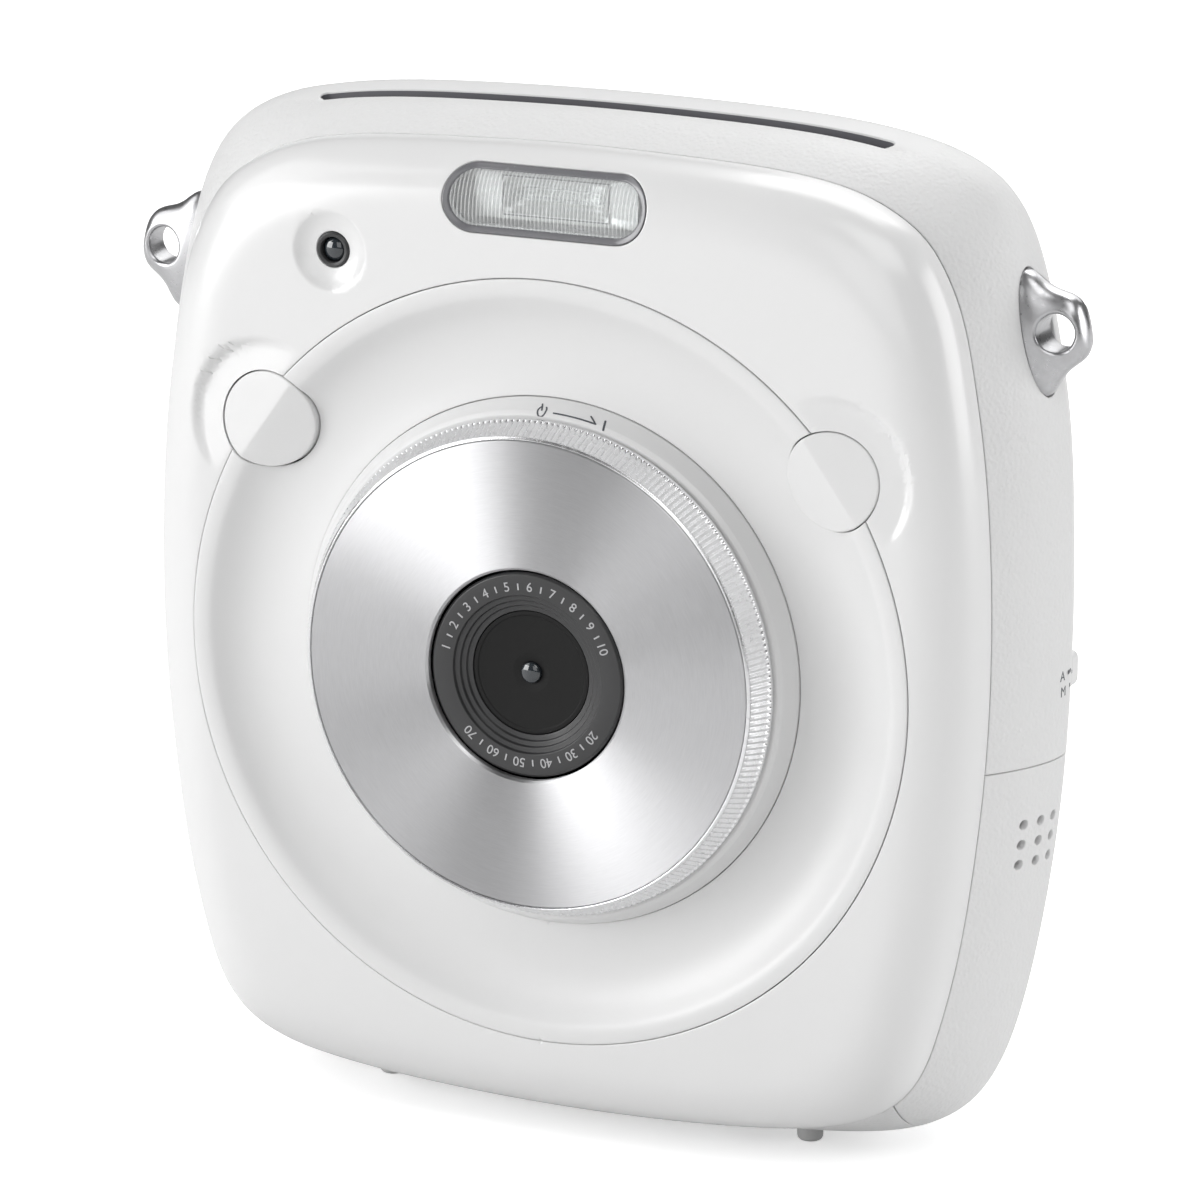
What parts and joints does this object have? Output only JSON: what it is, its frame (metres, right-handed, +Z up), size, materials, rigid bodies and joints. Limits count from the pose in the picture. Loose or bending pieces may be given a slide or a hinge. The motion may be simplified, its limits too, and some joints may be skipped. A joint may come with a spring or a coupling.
{
  "type": "instant camera",
  "caption": "Square-format digital instant camera: round dished front with a knurled power ring, two shutter buttons, flash, top print slot, rear film door with display, side strap lugs.",
  "frame": {"origin": "centre of the tripod socket mouth on the underside", "axes": "+Z up, the lens looks along -Y, +X is the right-hand side of the front view"},
  "size_m": [0.1242, 0.0475, 0.1266],
  "materials": {
    "gloss_white": "glossy pearl white plastic",
    "satin_white": "satin white plastic",
    "grained_white": "white plastic with a fine leather grain",
    "knurled_silver": "fine straight knurl, silver",
    "brushed_aluminium": "circular brushed aluminium",
    "lens_black": "black, lightly glossy",
    "lens_glass": "coated glass",
    "clear_window": "clear, vertically ribbed",
    "reflector": "polished reflector",
    "grey_trim": "grey trim",
    "polished_metal": "polished silver metal",
    "inner_black": "matte black",
    "inner_grey": "dark grey sleeve",
    "circuit_board": "green circuit board",
    "brass": "machined brass",
    "steel": "steel",
    "rubber_grey": "light grey rubber",
    "display": "dark display cover",
    "print_sheet": "coated sheet",
    "gear_plastic": "white gear plastic"
  },
  "bodies": {
    "body": {"front_cover": "gloss_white", "dish_panel": "satin_white", "lens_collar": "satin_white", "lens_bezel": "lens_black", "lens_disc": "lens_black", "front_lens": "lens_glass", "lens_barrel": "inner_black", "rear_lens": "lens_glass", "image_sensor": "circuit_board", "flash_bezel": "grey_trim", "flash_window": "clear_window", "flash_reflector": "reflector", "flash_tube": "clear_window", "lamp_ring": "lens_black", "lamp_lens": "lens_glass", "shutter_switches": "inner_black", "strap_lug_left": "polished_metal", "strap_lug_right": "polished_metal", "upper_frame": "grained_white", "side_panel": "grained_white", "speaker": "inner_black", "bottom_cover": "grained_white", "tripod_socket": "brass", "feet": "rubber_grey", "case_screws": "steel", "rear_cover": "grained_white", "film_door_pins": "steel", "film_pack": "inner_black", "film_sheets": "print_sheet", "chassis": "inner_black", "roller_frame": "steel", "drive_motor": "steel", "print_head": "inner_black", "main_board": "circuit_board", "battery": "inner_grey", "memory_card": "inner_black", "flash_capacitor": "inner_grey"},
    "ring": {"power_ring": "knurled_silver", "ring_face_plate": "brushed_aluminium"},
    "button_left": {"shutter_button_left": "satin_white"},
    "button_right": {"shutter_button_right": "satin_white"},
    "mode_knob": {"mode_switch": "satin_white"},
    "battery_lid": {"battery_door": "grained_white"},
    "door": {"film_door": "satin_white", "lcd_panel": "display", "lcd_window": "display"},
    "latch": {"door_latch": "satin_white"},
    "dial": {"control_dial": "knurled_silver"},
    "ok": {"ok_button": "satin_white"},
    "print_key": {"key_print": "satin_white"},
    "menu_key": {"key_menu": "satin_white"},
    "back_key": {"key_back": "satin_white"},
    "exposure_key": {"key_exposure": "satin_white"},
    "vignette_key": {"key_vignette": "satin_white"},
    "filter_key": {"key_filter": "satin_white"},
    "roller_front": {"front_roller": "steel"},
    "roller_rear": {"rear_roller": "steel"},
    "idler": {"idler_gear": "gear_plastic"},
    "pinion": {"motor_pinion": "brass"},
    "claw": {"film_claw": "steel"}
  },
  "joints": [
    {"name": "power_ring_turn", "type": "hinge", "parent": "body", "child": "ring", "pos_m": [0, -0.018, 0.0598], "axis": [0, 1, 0], "range_deg": [0, 14]},
    {"name": "shutter_left_press", "type": "slide", "parent": "body", "child": "button_left", "axis": [0, 1, 0], "range_m": [0, 0.0008]},
    {"name": "shutter_right_press", "type": "slide", "parent": "body", "child": "button_right", "axis": [0, 1, 0], "range_m": [0, 0.0008]},
    {"name": "mode_switch_slide", "type": "slide", "parent": "body", "child": "mode_knob", "axis": [0, 0, -1], "range_m": [0, 0.0018]},
    {"name": "battery_door_pull", "type": "slide", "parent": "body", "child": "battery_lid", "axis": [-1, 0, 0], "range_m": [0, 0.02]},
    {"name": "film_door_swing", "type": "hinge", "parent": "body", "child": "door", "pos_m": [-0.0424, 0.0201, 0.061], "axis": [0, 0, 1], "range_deg": [0, 95]},
    {"name": "door_latch_slide", "type": "slide", "parent": "door", "child": "latch", "axis": [0, 0, -1], "range_m": [0, 0.003]},
    {"name": "control_dial_turn", "type": "hinge", "parent": "door", "child": "dial", "pos_m": [0, 0.0216, 0.034], "axis": [0, 1, 0], "continuous": true},
    {"name": "ok_press", "type": "slide", "parent": "door", "child": "ok", "axis": [0, -1, 0], "range_m": [0, 0.0006]},
    {"name": "print_key_press", "type": "slide", "parent": "door", "child": "print_key", "axis": [0, -1, 0], "range_m": [0, 0.0006]},
    {"name": "menu_key_press", "type": "slide", "parent": "door", "child": "menu_key", "axis": [0, -1, 0], "range_m": [0, 0.0006]},
    {"name": "back_key_press", "type": "slide", "parent": "door", "child": "back_key", "axis": [0, -1, 0], "range_m": [0, 0.0006]},
    {"name": "exposure_key_press", "type": "slide", "parent": "door", "child": "exposure_key", "axis": [0, -1, 0], "range_m": [0, 0.0006]},
    {"name": "vignette_key_press", "type": "slide", "parent": "door", "child": "vignette_key", "axis": [0, -1, 0], "range_m": [0, 0.0006]},
    {"name": "filter_key_press", "type": "slide", "parent": "door", "child": "filter_key", "axis": [0, -1, 0], "range_m": [0, 0.0006]},
    {"name": "front_roller_spin", "type": "hinge", "parent": "body", "child": "roller_front", "pos_m": [0, -0.00728, 0.1104], "axis": [1, 0, 0], "continuous": true},
    {"name": "rear_roller_spin", "type": "hinge", "parent": "body", "child": "roller_rear", "pos_m": [0, 0.00008, 0.1104], "axis": [1, 0, 0], "continuous": true},
    {"name": "idler_gear_spin", "type": "hinge", "parent": "body", "child": "idler", "pos_m": [0.04, -0.01209, 0.10441], "axis": [1, 0, 0], "continuous": true},
    {"name": "motor_pinion_spin", "type": "hinge", "parent": "body", "child": "pinion", "pos_m": [0.04, -0.0112, 0.0984], "axis": [1, 0, 0], "continuous": true},
    {"name": "film_claw_slide", "type": "slide", "parent": "body", "child": "claw", "axis": [0, 0, 1], "range_m": [0, 0.014]}
  ],
  "couplings": [
    {"joint": "rear_roller_spin", "follows": "front_roller_spin", "ratio": -1},
    {"joint": "idler_gear_spin", "follows": "front_roller_spin", "ratio": -0.9},
    {"joint": "motor_pinion_spin", "follows": "front_roller_spin", "ratio": 1.8}
  ]
}
